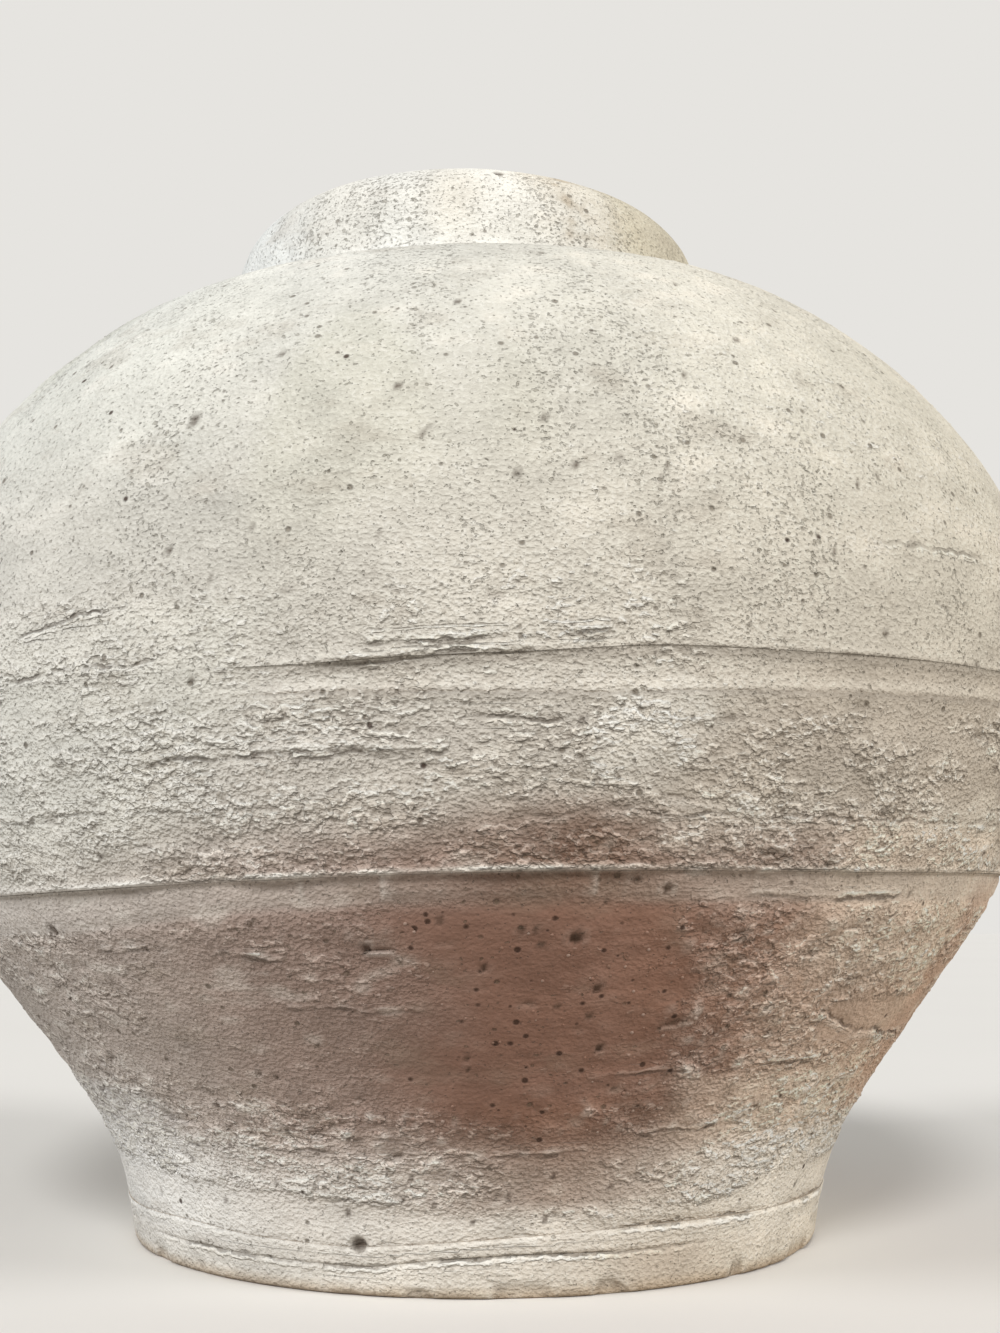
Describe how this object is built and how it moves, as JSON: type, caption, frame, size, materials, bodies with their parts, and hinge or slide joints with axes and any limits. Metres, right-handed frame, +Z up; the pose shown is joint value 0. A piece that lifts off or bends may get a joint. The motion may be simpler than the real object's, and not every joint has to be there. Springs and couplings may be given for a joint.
{
  "type": "stoneware jar",
  "caption": "Big-bellied unglazed stoneware jar with a narrow flat foot and a short open collar neck, built up from thrown wall sections luted together.",
  "frame": {"origin": "centre of the jar's foot on the floor it stands on, under the middle of the belly", "axes": "+Z up along the jar's axis, out of the mouth; -Y towards the side with the brown bare patch and the sharpest luting marks; +X to the right seen from that side"},
  "size_m": [0.4474, 0.4474, 0.4003],
  "materials": {
    "stoneware": "unglazed, dry and gritty, matt"
  },
  "bodies": {
    "root": {"base_slab": "stoneware", "foot_coil": "stoneware", "lower_wall": "stoneware", "belly_wall": "stoneware", "luting_band": "stoneware", "shoulder_dome": "stoneware", "neck_collar": "stoneware"}
  },
  "joints": []
}
